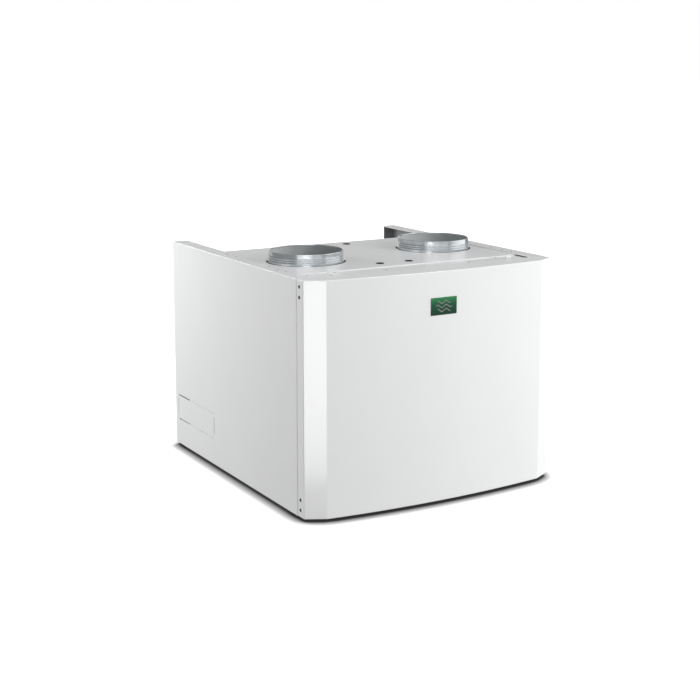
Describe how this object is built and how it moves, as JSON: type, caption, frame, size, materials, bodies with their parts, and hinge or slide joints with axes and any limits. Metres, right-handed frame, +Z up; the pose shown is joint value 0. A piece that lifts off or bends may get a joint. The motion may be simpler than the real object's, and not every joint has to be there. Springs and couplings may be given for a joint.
{
  "type": "heat recovery unit",
  "caption": "White sheet-steel exhaust-air heat recovery unit with a bowed front cover, round duct spigots on top, an internal filter, coil and centrifugal fan, and an open pipe space behind.",
  "frame": {"origin": "middle of the footprint, on the surface that the rubber feet stand on", "axes": "+X to the right seen from the front, +Y from the front cover to the back, +Z up"},
  "size_m": [0.596, 0.667, 0.5],
  "materials": {
    "painted_white": "satin",
    "galvanised": "satin",
    "copper": "satin",
    "brass": "satin",
    "aluminium": "satin",
    "rubber": "matte",
    "foam": "matte",
    "dark_plastic": "satin",
    "grey_plastic": "satin",
    "filter_fleece": "matte",
    "circuit_board": "satin",
    "badge_enamel": "gloss"
  },
  "bodies": {
    "casing": {"left_side_panel": "painted_white", "right_side_panel": "painted_white", "top_plate": "painted_white", "front_top_rail": "painted_white", "base_plate": "galvanised", "inner_front_plate": "galvanised", "back_panel": "galvanised", "coil_partition": "galvanised", "inlet_spigot": "galvanised", "outlet_spigot": "galvanised", "cover_clip_left": "galvanised", "cover_clip_right": "galvanised", "filter_channel_upper": "galvanised", "filter_channel_lower": "galvanised", "coil_frame": "galvanised", "blower_housing": "galvanised", "blower_inlet_ring": "galvanised", "blower_bracket": "galvanised", "outlet_collar": "galvanised", "left_insulation": "foam", "right_insulation": "foam", "top_insulation": "foam", "inlet_spigot_seal": "foam", "outlet_spigot_seal": "foam", "cable_grommet_rear": "rubber", "cable_grommet_left": "rubber", "cable_grommet_middle": "rubber", "foot_front_left": "rubber", "foot_front_right": "rubber", "foot_rear_left": "rubber", "foot_rear_right": "rubber", "drip_tray": "grey_plastic", "control_box": "grey_plastic", "control_box_lid": "grey_plastic", "drain_stub": "dark_plastic", "fan_cable_gland": "dark_plastic", "fan_cable": "dark_plastic", "supply_cable_gland": "dark_plastic", "coil_fins": "aluminium", "motor_stator": "aluminium", "coil_tubes_inlet_row": "copper", "coil_tubes_outlet_row": "copper", "coil_header_supply": "copper", "coil_header_return": "copper", "circuit_board": "circuit_board"},
    "front_cover": {"front_cover": "painted_white", "cover_insulation": "foam", "badge_plate": "badge_enamel", "cover_bracket_upper_left": "galvanised", "cover_bracket_lower_left": "galvanised", "cover_bracket_upper_right": "galvanised", "cover_bracket_lower_right": "galvanised"},
    "filter_cassette": {"filter_frame": "grey_plastic", "filter_media": "filter_fleece", "filter_front_plate": "galvanised", "filter_handle": "dark_plastic"},
    "fan_wheel": {"impeller": "dark_plastic", "motor_rotor": "aluminium"},
    "vent_screw": {"air_vent_screw": "brass"}
  },
  "joints": [
    {"name": "cover_slide", "type": "slide", "parent": "casing", "child": "front_cover", "axis": [0, -1, 0], "range_m": [0, 0.46]},
    {"name": "filter_slide", "type": "slide", "parent": "casing", "child": "filter_cassette", "axis": [0, -1, 0], "range_m": [0, 0.41]},
    {"name": "fan_spin", "type": "hinge", "parent": "casing", "child": "fan_wheel", "pos_m": [0.16, -0.12, 0.25], "axis": [1, 0, 0], "continuous": true},
    {"name": "vent_screw_turn", "type": "hinge", "parent": "casing", "child": "vent_screw", "pos_m": [0.0045, 0.166, 0.39], "axis": [0, 0, 1], "range_deg": [0, 360]}
  ],
  "couplings": [
    {"joint": "filter_slide", "follows": "cover_slide", "ratio": 0.89}
  ]
}
